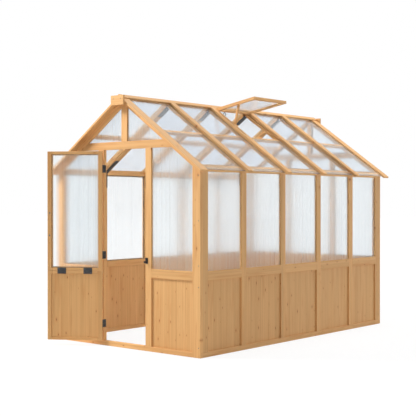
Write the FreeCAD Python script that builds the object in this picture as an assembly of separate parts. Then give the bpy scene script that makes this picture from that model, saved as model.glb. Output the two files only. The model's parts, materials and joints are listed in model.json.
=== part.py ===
import FreeCAD
import Part
import math
import os

# Wooden walk-in greenhouse with a ridge roof: framed walls with boards below and twin-wall
# sheets above, a hinged door in the front gable and one propped vent in the right roof slope.
# Millimetres. +X is the right wall, +Y runs from the door to the back wall, +Z is up.
# The origin is the middle of the front sill's underside.

V = FreeCAD.Vector
UP = V(0, 0, 1)
ALONG = V(0, 1, 0)

# House plan
BAY = 610.0
BAYS = 5
HOUSE_W = 1830.0
FRAME_T = 36.0

# Rebates, sheets and boards
LIP_T = 15.0
LAP = 10.0
PANEL_FIT = 1.0
SHEET_T = 6.0
BOARD_T = 12.0
BOARD_W = 98.0
BOARD_BEVEL = 2.5

# Walls
SILL_H = 45.0
MID_RAIL_Z = 660.0
MID_RAIL_H = 80.0
EAVE_Z = 1600.0
EAVE_BEAM_H = 37.7
STILE_W = 35.0
END_STILE_W = 68.0
CORNER_STILE_W = 90.0
JAMB_W = 72.0
DOORWAY_W = 536.0
HEADER_RISE = 221.0
HEADER_H = 71.0
KING_POST_W = 72.0

# Roof
PITCH = 35.25
GABLE_RAFTER_D = 45.0
RAIL_W = 36.0
RAIL_T = 28.0
PURLIN_W = 40.0
BATTEN_W = 64.0
BATTEN_T = 27.0
BATTEN_RUN = 1196.0
SHEET_RUN = 1157.0
SHEET_HEAD = 23.0
SHEET_GAP = 2.0
BARGE_W = 96.0
BARGE_T = 18.0
BARGE_RUN = 1190.0
BARGE_PROUD = 70.0
RIDGE_BEAM_W = 36.0
RIDGE_BEAM_DROP = 18.4
CAP_T = 15.0
CAP_TOP = 28.6
CAP_EDGE = 31.2
CAP_GAP = 1.0
BLOCK_W = 160.0
BLOCK_H = 88.0
BLOCK_T = 22.0
BLOCK_DROP = 13.4

# Steel brackets and the hanging eye
STRAP_T = 3.0
EAVE_STRAP_RUN = 175.0
EAVE_STRAP_DROP = 148.0
RIDGE_STRAP_RUN = 124.0
RIDGE_STRAP_W = 70.0
EYE_Y = 1443.0
EYE_R = 15.0
EYE_WIRE_R = 3.2
EYE_SHANK = 6.0

# Door leaf
DOOR_T = 34.0
DOOR_HINGE_GAP = 6.0
DOOR_FREE_GAP = 4.0
DOOR_FOOT_GAP = 4.0
DOOR_HEAD_GAP = 11.0
DOOR_STILE_W = 47.0
DOOR_RAIL_W = 37.0
DOOR_SEAM_Z = 696.0
DOOR_SEAM = 1.0
DOOR_BOARD_COUNT = 5
JOIN_PLATE_W = 82.0
JOIN_PLATE_H = 57.0
JOIN_PLATE_T = 2.5
JOIN_PLATE_X = 125.0
DOOR_OPEN = 148.0

# Butt hinges of the door
HINGE_H = 70.0
HINGE_ZS = (206.0, 843.0, 1646.0)
LEAF_T = 2.0
LEAF_W = 27.0
KNUCKLE_R = 5.0
KNUCKLE_PROUD = 0.5
PIN_R = 2.5
PIN_HEAD_R = 3.6
PIN_HEAD_T = 2.0
PIN_SEAT = 0.02
PIN_FIT = 0.05
KNUCKLE_GAP = 0.4
SWING_CLEAR = 0.6

# Pull handle on the door's outer face
HANDLE_Z = 1130.0
HANDLE_SPAN = 208.0
HANDLE_EDGE = 21.0
HANDLE_REACH = 42.0
HANDLE_R = 6.5
HANDLE_BEND_R = 22.0
HANDLE_FOOT_R = 11.0
HANDLE_FOOT_T = 4.0

# Turn latch on the right jamb
LATCH_Z = 829.0
LATCH_INSET = 17.0
LATCH_PLATE_W = 30.0
LATCH_PLATE_H = 52.0
LATCH_PLATE_T = 3.0
LATCH_SPINDLE_R = 3.0
LATCH_HUB_R = 9.0
LATCH_HUB_T = 8.0
LATCH_TAIL = 38.0
LATCH_TAIL_W = 14.0
LATCH_TAIL_T = 6.0
LATCH_GRIP_T = 6.0
LATCH_GRIP_H = 18.0
LATCH_GRIP_REACH = 27.0
LATCH_CLEAR = 0.4
LATCH_CAP_R = 6.0
LATCH_CAP_T = 2.0

# Roof vent, its hinges and its prop
VENT_OPEN = 45.2
VENT_LENGTH = 497.0
VENT_SIDE_GAP = 2.0
VENT_RAIL_W = 28.0
VENT_RAIL_T = 28.0
VENT_SEAT_GAP = 0.3
VENT_EDGE = 6.0
VENT_REBATE = 14.0
VENT_SHEET_LAP = 10.0
VENT_BEARING = 6.0
VENT_KNUCKLE_R = 4.0
VENT_AXIS_X = 50.0
VENT_AXIS_LIFT = 2.7
VENT_PIN_R = 1.8
VENT_HINGE_W = 60.0
VENT_HINGE_SPREAD = 340.0
VENT_LEAF_RUN = 30.0
PROP_W = 20.0
PROP_T = 20.0
PROP_RUN = 271.0
PROP_LENGTH = 234.5
PROP_LEAN = 13.2
PROP_SIDE_GAP = 0.4
PROP_UNDER_SHEET = 1.3
BOLT_R = 4.0
BOLT_HEAD_R = 8.0
BOLT_HEAD_T = 4.0
BOLT_DEPTH = 22.0
PEG_R = 6.0
PEG_PROUD = 2.0
PEG_FIT = 0.3

# Derived sizes
COS = math.cos(math.radians(PITCH))
SIN = math.sin(math.radians(PITCH))
TAN = SIN / COS
HALF_W = HOUSE_W / 2
ROOF_APEX_Z = EAVE_Z + EAVE_BEAM_H + TAN * HALF_W
FRONT_Y = -FRAME_T / 2
BACK_Y = FRONT_Y + BAY * BAYS
INNER_X = HALF_W - FRAME_T
MID_RAIL_TOP = MID_RAIL_Z + MID_RAIL_H
HEADER_Z = EAVE_Z + HEADER_RISE
HEADER_TOP = HEADER_Z + HEADER_H
CORNER_X = HALF_W - CORNER_STILE_W
JAMB_X = DOORWAY_W / 2
JAMB_OUT_X = JAMB_X + JAMB_W
KING_X = KING_POST_W / 2
RIDGE_X = RIDGE_BEAM_W / 2
CAP_PEAK_Z = ROOF_APEX_Z + CAP_TOP / COS
RIDGE_BEAM_Z = ROOF_APEX_Z - RIDGE_BEAM_DROP
RAIL_YS = [FRONT_Y + BAY * k for k in range(1, BAYS)]
STRAP_W = 2 * (STILE_W - LAP)
VENT_BAY = BAYS // 2
VENT_TOP = VENT_SEAT_GAP + VENT_RAIL_T
VENT_AXIS_H = VENT_TOP + VENT_AXIS_LIFT
PURLIN_HEAD = (VENT_AXIS_X - VENT_AXIS_H * SIN) / COS + VENT_LENGTH - VENT_BEARING


def roof_z(x, h=0.0):
    """Height of the plane parallel to a roof slope, h outside the plane that carries the sheets."""
    return ROOF_APEX_Z - TAN * abs(x) + h / COS


def roof_x(z, h=0.0):
    """Distance from the ridge line at which that plane is at height z."""
    return (ROOF_APEX_Z + h / COS - z) / TAN


def front(u, d, z):
    return V(u, FRONT_Y + d, z)


def back(u, d, z):
    return V(u, BACK_Y - d, z)


def right(u, d, z):
    return V(HALF_W - d, u, z)


def left(u, d, z):
    return V(d - HALF_W, u, z)


def rect(u0, u1, z0, z1):
    return [(u0, z0), (u1, z0), (u1, z1), (u0, z1)]


def mirrored(outline):
    return [(-u, z) for u, z in outline]


def prism(points, travel):
    return Part.Face(Part.makePolygon(points + points[:1])).extrude(travel)


def slab(wall, outline, d0=0.0, d1=FRAME_T):
    """Flat piece in a wall: an outline on the wall, between two depths from its outer face."""
    return prism([wall(u, d0, z) for u, z in outline], wall(0, d1, 0) - wall(0, d0, 0))


def across(outline, y0, y1, side=1):
    """Prism along the house from an outline in the cross-section of the right half."""
    return prism([V(side * x, y0, z) for x, z in outline], V(0, y1 - y0, 0))


def box(x0, x1, y0, y1, z0, z1):
    return Part.makeBox(x1 - x0, y1 - y0, z1 - z0, V(x0, y0, z0))


def joined(shape, *others):
    return shape.fuse(list(others)).removeSplitter().Solids[0]


def trimmed(shape, *cutters):
    return shape.cut(list(cutters)).removeSplitter().Solids[0]


def save(node, solids):
    os.makedirs("parts", exist_ok=True)
    shape = solids[0] if len(solids) == 1 else Part.makeCompound(solids)
    shape.exportStep("parts/" + node + ".step")


# Frames and panels of a wall

def framed(wall, outlines, pockets, depth=FRAME_T):
    """Frame pieces with rebates, cut where the panels lie behind the lip."""
    cutters = [slab(wall, outline, LIP_T, depth) for outline in pockets]
    return [trimmed(slab(wall, outline, 0, depth), *cutters) for outline in outlines]


def sheets(wall, outlines):
    return [slab(wall, outline, LIP_T, LIP_T + SHEET_T) for outline in outlines]


def boards(wall, u0, u1, z0, z1, count=0):
    """Row of upright boards behind the lip, with their front edges bevelled."""
    count = count or round((u1 - u0) / BOARD_W)
    width = (u1 - u0) / count
    back_d = LIP_T + BOARD_T
    bevel_d = LIP_T + BOARD_BEVEL
    row = []
    for i in range(count):
        a = u0 + width * i
        b = a + width
        plan = [(a, back_d), (b, back_d), (b, bevel_d), (b - BOARD_BEVEL, LIP_T)]
        plan += [(a + BOARD_BEVEL, LIP_T), (a, bevel_d)]
        row.append(prism([wall(u, d, z0) for u, d in plan], V(0, 0, z1 - z0)))
    return row


def grown(u0, u1, z0, z1, lap):
    return rect(u0 - lap, u1 + lap, z0 - lap, z1 + lap)


# Side walls

def bay_opening(i):
    y0 = FRONT_Y + FRAME_T + END_STILE_W if i == 0 else FRONT_Y + BAY * i + STILE_W
    y1 = BACK_Y - FRAME_T - END_STILE_W if i == BAYS - 1 else FRONT_Y + BAY * (i + 1) - STILE_W
    return y0, y1


def side_wall(wall, side):
    ends = (FRONT_Y + FRAME_T, BACK_Y - FRAME_T)
    stiles = []
    rails = []
    pockets = []
    panes = []
    cladding = []
    for i in range(BAYS):
        y0, y1 = bay_opening(i)
        outer0 = ends[0] if i == 0 else FRONT_Y + BAY * i
        outer1 = ends[1] if i == BAYS - 1 else FRONT_Y + BAY * (i + 1)
        stiles += [rect(outer0, y0, SILL_H, EAVE_Z), rect(y1, outer1, SILL_H, EAVE_Z)]
        rails.append(rect(y0, y1, MID_RAIL_Z, MID_RAIL_TOP))
        pockets.append(grown(y0, y1, SILL_H, MID_RAIL_Z, LAP))
        pockets.append(grown(y0, y1, MID_RAIL_TOP, EAVE_Z, LAP))
        fit = LAP - PANEL_FIT
        panes.append(grown(y0, y1, MID_RAIL_TOP, EAVE_Z, fit))
        cladding += boards(wall, y0 - fit, y1 + fit, SILL_H - fit, MID_RAIL_Z + fit)
    sill = framed(wall, [rect(ends[0], ends[1], 0, SILL_H)], pockets)
    section = [(INNER_X, EAVE_Z), (HALF_W, EAVE_Z), (HALF_W, roof_z(HALF_W)), (INNER_X, roof_z(INNER_X))]
    beam = across(section, ends[0], ends[1], side)
    beam = trimmed(beam, *[slab(wall, outline, LIP_T, FRAME_T) for outline in pockets])
    return {
        "stiles": framed(wall, stiles, pockets),
        "rails": framed(wall, rails, pockets),
        "sill": sill,
        "beam": [beam],
        "sheets": sheets(wall, panes),
        "boards": cladding,
    }


# Gable walls

def side_pane(lap):
    """Five-sided opening beside the door, with one corner cut by the rafter, grown by lap."""
    h = lap - GABLE_RAFTER_D
    edge_x = CORNER_X + lap
    head_z = HEADER_Z + lap
    foot_z = MID_RAIL_TOP - lap
    inner_x = JAMB_OUT_X - lap
    return [(inner_x, foot_z), (edge_x, foot_z), (edge_x, roof_z(edge_x, h)),
            (roof_x(head_z, h), head_z), (inner_x, head_z)]


def gable_pane(lap):
    """Triangle between header, king post and rafter, grown by lap."""
    h = lap - GABLE_RAFTER_D
    foot_z = HEADER_TOP - lap
    inner_x = KING_X - lap
    return [(inner_x, foot_z), (roof_x(foot_z, h), foot_z), (inner_x, roof_z(inner_x, h))]


def gable_wall(wall, has_door):
    under = -GABLE_RAFTER_D
    fit = LAP - PANEL_FIT
    lower = [(JAMB_OUT_X, CORNER_X), (-CORNER_X, -JAMB_OUT_X)]
    upper_panes = []
    top_panes = []
    pockets = []
    for flip in (list, mirrored):
        upper_panes.append(flip(side_pane(fit)))
        top_panes.append(flip(gable_pane(fit)))
        pockets += [flip(side_pane(LAP)), flip(gable_pane(LAP))]
    if not has_door:
        lower.append((-JAMB_X, JAMB_X))
        upper_panes.append(grown(-JAMB_X, JAMB_X, MID_RAIL_TOP, HEADER_Z, fit))
        pockets.append(grown(-JAMB_X, JAMB_X, MID_RAIL_TOP, HEADER_Z, LAP))
    cladding = []
    for u0, u1 in lower:
        pockets.append(grown(u0, u1, SILL_H, MID_RAIL_Z, LAP))
        cladding += boards(wall, u0 - fit, u1 + fit, SILL_H - fit, MID_RAIL_Z + fit)
    corner = [(CORNER_X, 0), (HALF_W, 0), (HALF_W, roof_z(HALF_W, under)), (CORNER_X, roof_z(CORNER_X, under))]
    rafter = [(0, roof_z(0)), (HALF_W, roof_z(HALF_W)), (HALF_W, roof_z(HALF_W, under)), (0, roof_z(0, under))]
    jamb = rect(JAMB_X, JAMB_OUT_X, SILL_H, HEADER_Z)
    low_x = roof_x(HEADER_Z, under)
    top_x = roof_x(HEADER_TOP, under)
    header = [(-low_x, HEADER_Z), (low_x, HEADER_Z), (top_x, HEADER_TOP), (-top_x, HEADER_TOP)]
    shoulder_z = roof_z(KING_X, under)
    king = [(-KING_X, HEADER_TOP), (KING_X, HEADER_TOP), (KING_X, shoulder_z),
            (0, roof_z(0, under)), (-KING_X, shoulder_z)]
    sill = rect(-CORNER_X, CORNER_X, 0, SILL_H)
    mids = [rect(u0, u1, MID_RAIL_Z, MID_RAIL_TOP) for u0, u1 in lower]
    return {
        "corners": framed(wall, [corner, mirrored(corner)], pockets),
        "rafters": framed(wall, [rafter, mirrored(rafter)], pockets),
        "jambs": framed(wall, [jamb, mirrored(jamb)], pockets),
        "header": framed(wall, [header], pockets),
        "king": framed(wall, [king], pockets),
        "sill": framed(wall, [sill], pockets),
        "mids": framed(wall, mids, pockets),
        "boards": cladding,
        "panes": sheets(wall, upper_panes),
        "gable_panes": sheets(wall, top_panes),
    }


# Roof

def plumb_strip(x0, x1, h0, h1):
    """Strip between two planes of the slope, cut upright at both ends."""
    return [(x0, roof_z(x0, h0)), (x1, roof_z(x1, h0)), (x1, roof_z(x1, h1)), (x0, roof_z(x0, h1))]


def slope_point(s, h):
    """Point of the cross-section: s down the slope from the ridge line, h outside the sheets' seat."""
    return s * COS + h * SIN, ROOF_APEX_Z - s * SIN + h * COS


def square_strip(s0, s1, h0, h1):
    """Strip of a slope with both ends cut square."""
    return [slope_point(s0, h0), slope_point(s1, h0), slope_point(s1, h1), slope_point(s0, h1)]


def sheet_ends(i):
    barge_lap = BARGE_W - BARGE_PROUD + CAP_GAP
    y0 = FRONT_Y + barge_lap if i == 0 else FRONT_Y + BAY * i + SHEET_GAP / 2
    y1 = BACK_Y - barge_lap if i == BAYS - 1 else FRONT_Y + BAY * (i + 1) - SHEET_GAP / 2
    return y0, y1


def purlin_ends(i):
    y0 = FRONT_Y + FRAME_T if i == 0 else FRONT_Y + BAY * i + RAIL_W
    y1 = BACK_Y - FRAME_T if i == BAYS - 1 else FRONT_Y + BAY * (i + 1) - RAIL_W
    return y0, y1


def roof_slope(side, vented):
    rail = plumb_strip(RIDGE_X, INNER_X, -RAIL_T, 0)
    head = CAP_EDGE + CAP_GAP
    batten = square_strip(head, BATTEN_RUN, SHEET_T, SHEET_T + BATTEN_T)
    barge = square_strip(head, BARGE_RUN, 0, BARGE_T)
    purlin = square_strip(PURLIN_HEAD, PURLIN_HEAD + PURLIN_W, -RAIL_T, 0)
    rails = []
    battens = []
    for y in RAIL_YS:
        rails += [across(rail, y - RAIL_W, y, side), across(rail, y, y + RAIL_W, side)]
        battens.append(across(batten, y - BATTEN_W / 2, y + BATTEN_W / 2, side))
    front_edge = FRONT_Y - BARGE_PROUD
    back_edge = BACK_Y + BARGE_PROUD
    barges = [across(barge, front_edge, front_edge + BARGE_W, side)]
    barges.append(across(barge, back_edge - BARGE_W, back_edge, side))
    purlins = [across(purlin, *purlin_ends(i), side) for i in range(BAYS)]
    covers = []
    for i in range(BAYS):
        top = SHEET_HEAD
        if vented and i == VENT_BAY:
            top = PURLIN_HEAD + PURLIN_W - VENT_SHEET_LAP
        covers.append(across(square_strip(top, SHEET_RUN, 0, SHEET_T), *sheet_ends(i), side))
    return rails, battens, barges, purlins, covers


def ridge():
    """Peaked beam, two cap boards mitred over it, and the blocks that close the ends."""
    under = CAP_TOP - CAP_T
    shoulder_z = roof_z(RIDGE_X, under)
    section = [(-RIDGE_X, RIDGE_BEAM_Z), (RIDGE_X, RIDGE_BEAM_Z), (RIDGE_X, shoulder_z)]
    section += [(0, roof_z(0, under)), (-RIDGE_X, shoulder_z)]
    beam = across(section, FRONT_Y + FRAME_T, BACK_Y - FRAME_T)
    front_edge = FRONT_Y - BARGE_PROUD
    back_edge = BACK_Y + BARGE_PROUD
    board = [(0, roof_z(0, under)), slope_point(CAP_EDGE, under), slope_point(CAP_EDGE, CAP_TOP), (0, CAP_PEAK_Z)]
    caps = [across(board, front_edge, back_edge, side) for side in (-1, 1)]
    top_z = CAP_PEAK_Z - BLOCK_DROP
    blocks = []
    for y in (front_edge - BLOCK_T, back_edge):
        blocks.append(box(-BLOCK_W / 2, BLOCK_W / 2, y, y + BLOCK_T, top_z - BLOCK_H, top_z))
    return beam, caps, blocks


def eave_brackets():
    """Bent straps from the underside of the roof rails down the inner faces of the studs."""
    start_x = INNER_X - EAVE_STRAP_RUN
    bend_x = INNER_X - STRAP_T
    foot_z = roof_z(INNER_X, -RAIL_T) - EAVE_STRAP_DROP + STRAP_T
    section = [(start_x, roof_z(start_x, -RAIL_T)), (INNER_X, roof_z(INNER_X, -RAIL_T)), (INNER_X, foot_z)]
    section += [(bend_x, foot_z), (bend_x, roof_z(bend_x, -RAIL_T - STRAP_T))]
    section.append((start_x, roof_z(start_x, -RAIL_T - STRAP_T)))
    straps = []
    for y in RAIL_YS:
        for side in (-1, 1):
            straps.append(across(section, y - STRAP_W / 2, y + STRAP_W / 2, side))
    return straps


def ridge_brackets():
    """Roof-shaped straps across the ridge, under the upper ends of each pair of roof rails."""
    run = RIDGE_STRAP_RUN
    section = [(x, roof_z(x, -RAIL_T)) for x in (-run, 0, run)]
    section += [(x, roof_z(x, -RAIL_T - STRAP_T)) for x in (run, 0, -run)]
    return [across(section, y - RIDGE_STRAP_W / 2, y + RIDGE_STRAP_W / 2) for y in RAIL_YS]


def hanging_eye():
    centre_z = RIDGE_BEAM_Z - EYE_SHANK - EYE_R - EYE_WIRE_R
    ring = Part.makeTorus(EYE_R, EYE_WIRE_R, V(0, EYE_Y, centre_z), ALONG)
    shank = Part.makeCylinder(EYE_WIRE_R, EYE_SHANK + EYE_WIRE_R, V(0, EYE_Y, centre_z + EYE_R), UP)
    return joined(ring, shank)


# Door, modelled closed and then swung to its open rest

DOOR_X0 = DOOR_HINGE_GAP - JAMB_X
DOOR_X1 = JAMB_X - DOOR_FREE_GAP
DOOR_Z0 = SILL_H + DOOR_FOOT_GAP
DOOR_Z1 = HEADER_Z - DOOR_HEAD_GAP
DOOR_AXIS = V(DOOR_HINGE_GAP / 2 - JAMB_X, FRONT_Y - KNUCKLE_R - KNUCKLE_PROUD, 0)


def swung(solids):
    return [s.rotated(DOOR_AXIS, UP, -DOOR_OPEN) for s in solids]


def door_frames():
    """Upper sash and lower panel, each with its own stiles and rails."""
    inner0 = DOOR_X0 + DOOR_STILE_W
    inner1 = DOOR_X1 - DOOR_STILE_W
    parts = {"stiles": [], "rails": [], "pockets": [], "openings": []}
    for z0, z1 in ((DOOR_Z0, DOOR_SEAM_Z - DOOR_SEAM / 2), (DOOR_SEAM_Z + DOOR_SEAM / 2, DOOR_Z1)):
        low = z0 + DOOR_RAIL_W
        high = z1 - DOOR_RAIL_W
        parts["stiles"] += [rect(DOOR_X0, inner0, z0, z1), rect(inner1, DOOR_X1, z0, z1)]
        parts["rails"] += [rect(inner0, inner1, z0, low), rect(inner0, inner1, high, z1)]
        parts["pockets"].append(grown(inner0, inner1, low, high, LAP))
        parts["openings"].append((inner0, inner1, low, high))
    return parts


def door():
    parts = door_frames()
    fit = LAP - PANEL_FIT
    lower, upper = parts["openings"]
    u0, u1, z0, z1 = lower
    cladding = boards(front, u0 - fit, u1 + fit, z0 - fit, z1 + fit, DOOR_BOARD_COUNT)
    plates = []
    middle = (DOOR_X0 + DOOR_X1) / 2
    for x in (middle - JOIN_PLATE_X, middle + JOIN_PLATE_X):
        outline = rect(x - JOIN_PLATE_W / 2, x + JOIN_PLATE_W / 2,
                       DOOR_SEAM_Z - JOIN_PLATE_H / 2, DOOR_SEAM_Z + JOIN_PLATE_H / 2)
        plates.append(slab(front, outline, DOOR_T, DOOR_T + JOIN_PLATE_T))
    return {
        "stiles": swung(framed(front, parts["stiles"], parts["pockets"], DOOR_T)),
        "rails": swung(framed(front, parts["rails"], parts["pockets"], DOOR_T)),
        "glazing": swung(sheets(front, [grown(*upper, fit)])),
        "boards": swung(cladding),
        "plates": swung(plates),
    }


def knuckled_leaf(plate, axis, turn, radius, bore, own, other):
    """Hinge leaf with barrels at its own spans along the axis and room at the other leaf's spans."""
    barrels = [Part.makeCylinder(radius, b - a, axis + turn * a, turn) for a, b in own]
    room = [Part.makeCylinder(radius + SWING_CLEAR, b - a, axis + turn * a, turn) for a, b in other]
    hole = Part.makeCylinder(bore, own[-1][1] - own[0][0], axis + turn * own[0][0], turn)
    return trimmed(joined(plate.cut(room), *barrels), hole)


def knuckle_spans(length):
    """Spans of the two outer barrels and of the middle one, with the room that each leaves."""
    third = length / 3
    half = KNUCKLE_GAP / 2
    outer = [(0, third - half), (2 * third + half, length)]
    middle = [(third + half, 2 * third - half)]
    outer_room = [(-KNUCKLE_GAP, third + half), (2 * third - half, length + KNUCKLE_GAP)]
    middle_room = [(third - half, 2 * third + half)]
    return outer, middle, outer_room, middle_room


def hinge_pin(axis, turn, radius, length):
    pin = Part.makeCylinder(radius, length, axis, turn)
    heads = []
    for start in (-PIN_HEAD_T, length):
        heads.append(Part.makeCylinder(PIN_HEAD_R, PIN_HEAD_T, axis + turn * start, turn))
    return joined(pin, *heads)


def door_hinges():
    fixed = []
    moving = []
    pins = []
    outer, middle, outer_room, middle_room = knuckle_spans(HINGE_H)
    y0 = DOOR_AXIS.y
    y1 = FRONT_Y + LEAF_W
    for z in HINGE_ZS:
        z0 = z - HINGE_H / 2
        axis = V(DOOR_AXIS.x, DOOR_AXIS.y, z0)
        jamb_plate = box(-JAMB_X, LEAF_T - JAMB_X, y0, y1, z0, z0 + HINGE_H)
        door_plate = box(DOOR_X0 - LEAF_T, DOOR_X0, y0, y1, z0, z0 + HINGE_H)
        fixed.append(knuckled_leaf(jamb_plate, axis, UP, KNUCKLE_R, PIN_R + PIN_SEAT, outer, middle_room))
        moving.append(knuckled_leaf(door_plate, axis, UP, KNUCKLE_R, PIN_R + PIN_FIT, middle, outer_room))
        pins.append(hinge_pin(axis, UP, PIN_R, HINGE_H))
    return fixed, swung(moving), pins


def pull_handle():
    """Bent round bar on two feet, swept along a line with two quarter bends."""
    x = DOOR_X1 - HANDLE_EDGE
    y = FRONT_Y
    out_y = y - HANDLE_REACH
    z0 = HANDLE_Z - HANDLE_SPAN / 2
    z1 = HANDLE_Z + HANDLE_SPAN / 2
    r = HANDLE_BEND_R
    near = r * (1 - math.sqrt(0.5))
    edges = [
        Part.LineSegment(V(x, y, z0), V(x, out_y + r, z0)),
        Part.Arc(V(x, out_y + r, z0), V(x, out_y + near, z0 + near), V(x, out_y, z0 + r)),
        Part.LineSegment(V(x, out_y, z0 + r), V(x, out_y, z1 - r)),
        Part.Arc(V(x, out_y, z1 - r), V(x, out_y + near, z1 - near), V(x, out_y + r, z1)),
        Part.LineSegment(V(x, out_y + r, z1), V(x, y, z1)),
    ]
    path = Part.Wire([e.toShape() for e in edges])
    ring = Part.Wire(Part.makeCircle(HANDLE_R, V(x, y, z0), V(0, -1, 0)))
    bar = path.makePipeShell([ring], True, False)
    feet = []
    for z in (z0, z1):
        feet.append(Part.makeCylinder(HANDLE_FOOT_R, HANDLE_FOOT_T, V(x, y, z), V(0, -1, 0)))
    return swung([joined(bar, *feet)])


# Turn latch

LATCH_X = JAMB_X + LATCH_INSET
LATCH_FACE_Y = FRONT_Y - LATCH_PLATE_T


def latch():
    outward = V(0, -1, 0)
    half = LATCH_PLATE_W / 2
    top_z = LATCH_Z + (LATCH_PLATE_H - LATCH_TAIL) / 2 + LATCH_CLEAR
    plate = box(LATCH_X - half, LATCH_X + half, LATCH_FACE_Y, FRONT_Y, top_z - LATCH_PLATE_H, top_z)
    hub_y = LATCH_FACE_Y - LATCH_CLEAR
    spindle_l = LATCH_CLEAR + LATCH_HUB_T + LATCH_CLEAR
    spindle = Part.makeCylinder(LATCH_SPINDLE_R, spindle_l, V(LATCH_X, LATCH_FACE_Y, LATCH_Z), outward)
    cap_at = V(LATCH_X, LATCH_FACE_Y - spindle_l, LATCH_Z)
    cap = Part.makeCylinder(LATCH_CAP_R, LATCH_CAP_T, cap_at, outward)
    hub = Part.makeCylinder(LATCH_HUB_R, LATCH_HUB_T, V(LATCH_X, hub_y, LATCH_Z), outward)
    w = LATCH_TAIL_W / 2
    tail = box(LATCH_X - w, LATCH_X + w, hub_y - LATCH_TAIL_T, hub_y, LATCH_Z - LATCH_TAIL, LATCH_Z)
    g = LATCH_GRIP_T / 2
    grip_z = LATCH_Z - LATCH_TAIL
    grip_y = hub_y - LATCH_TAIL_T - LATCH_GRIP_REACH
    grip = box(LATCH_X - g, LATCH_X + g, grip_y, hub_y, grip_z, grip_z + LATCH_GRIP_H)
    bore = Part.makeCylinder(LATCH_SPINDLE_R + PIN_FIT, LATCH_HUB_T, V(LATCH_X, hub_y, LATCH_Z), outward)
    return joined(plate, spindle, cap), trimmed(joined(hub, tail, grip), bore)


# Roof vent, modelled closed and then opened to its rest on the prop

VENT_AXIS = V(VENT_AXIS_X, 0, roof_z(VENT_AXIS_X, VENT_AXIS_H))
VENT_Y0 = FRONT_Y + BAY * VENT_BAY + BATTEN_W / 2 + VENT_SIDE_GAP
VENT_Y1 = FRONT_Y + BAY * (VENT_BAY + 1) - BATTEN_W / 2 - VENT_SIDE_GAP
PROP_Y0 = VENT_Y0 + VENT_RAIL_W + PROP_SIDE_GAP
PROP_H = VENT_TOP - SHEET_T - PROP_UNDER_SHEET - PROP_W / 2


def vent_point(r, h):
    """Point of the closed vent: r down the slope from the hinge axis, h above the roof rails."""
    lift = h - VENT_AXIS_H
    return VENT_AXIS.x + r * COS + lift * SIN, VENT_AXIS.z - r * SIN + lift * COS


def vent_slab(r0, r1, h0, h1, y0, y1):
    outline = [vent_point(r0, h0), vent_point(r1, h0), vent_point(r1, h1), vent_point(r0, h1)]
    return across(outline, y0, y1)


def opened(solids):
    return [s.rotated(VENT_AXIS, ALONG, -VENT_OPEN) for s in solids]


def vent():
    inset = VENT_RAIL_W - VENT_REBATE
    r1 = VENT_LENGTH
    sheet = vent_slab(VENT_EDGE + inset, r1 - inset, VENT_TOP - SHEET_T, VENT_TOP, VENT_Y0 + inset, VENT_Y1 - inset)
    inner0 = VENT_Y0 + VENT_RAIL_W
    inner1 = VENT_Y1 - VENT_RAIL_W
    spans = [
        (VENT_EDGE, r1, VENT_Y0, inner0),
        (VENT_EDGE, r1, inner1, VENT_Y1),
        (VENT_EDGE, VENT_EDGE + VENT_RAIL_W, inner0, inner1),
        (r1 - VENT_RAIL_W, r1, inner0, inner1),
    ]
    rails = [trimmed(vent_slab(a, b, VENT_SEAT_GAP, VENT_TOP, c, d), sheet) for a, b, c, d in spans]
    px, pz = vent_point(PROP_RUN, PROP_H)
    drill = Part.makeCylinder(BOLT_R, BOLT_DEPTH, V(px, inner0 - BOLT_DEPTH, pz), ALONG)
    rails[0] = trimmed(rails[0], drill)
    return opened(rails), opened([sheet])


def vent_hinges():
    fixed = []
    moving = []
    pins = []
    outer, middle, outer_room, middle_room = knuckle_spans(VENT_HINGE_W)
    centre = (VENT_Y0 + VENT_Y1) / 2
    for y in (centre - VENT_HINGE_SPREAD / 2, centre + VENT_HINGE_SPREAD / 2):
        y0 = y - VENT_HINGE_W / 2
        y1 = y + VENT_HINGE_W / 2
        axis = VENT_AXIS + ALONG * y0
        cap_plate = vent_slab(-VENT_LEAF_RUN, 0, CAP_TOP, CAP_TOP + LEAF_T, y0, y1)
        vent_plate = vent_slab(0, VENT_LEAF_RUN, VENT_TOP, VENT_TOP + LEAF_T, y0, y1)
        r = VENT_KNUCKLE_R
        fixed.append(knuckled_leaf(cap_plate, axis, ALONG, r, VENT_PIN_R + PIN_SEAT, outer, middle_room))
        moving.append(knuckled_leaf(vent_plate, axis, ALONG, r, VENT_PIN_R + PIN_FIT, middle, outer_room))
        pins.append(hinge_pin(axis, ALONG, VENT_PIN_R, VENT_HINGE_W))
    return fixed, opened(moving), pins


def prop_places():
    """Pivot of the prop and the middle of its foot, with the vent open."""
    px, pz = vent_point(PROP_RUN, PROP_H)
    pivot = opened([Part.Vertex(px, 0, pz)])[0].Point
    lean = math.radians(PROP_LEAN)
    return pivot, pivot + V(-math.sin(lean), 0, -math.cos(lean)) * PROP_LENGTH


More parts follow.
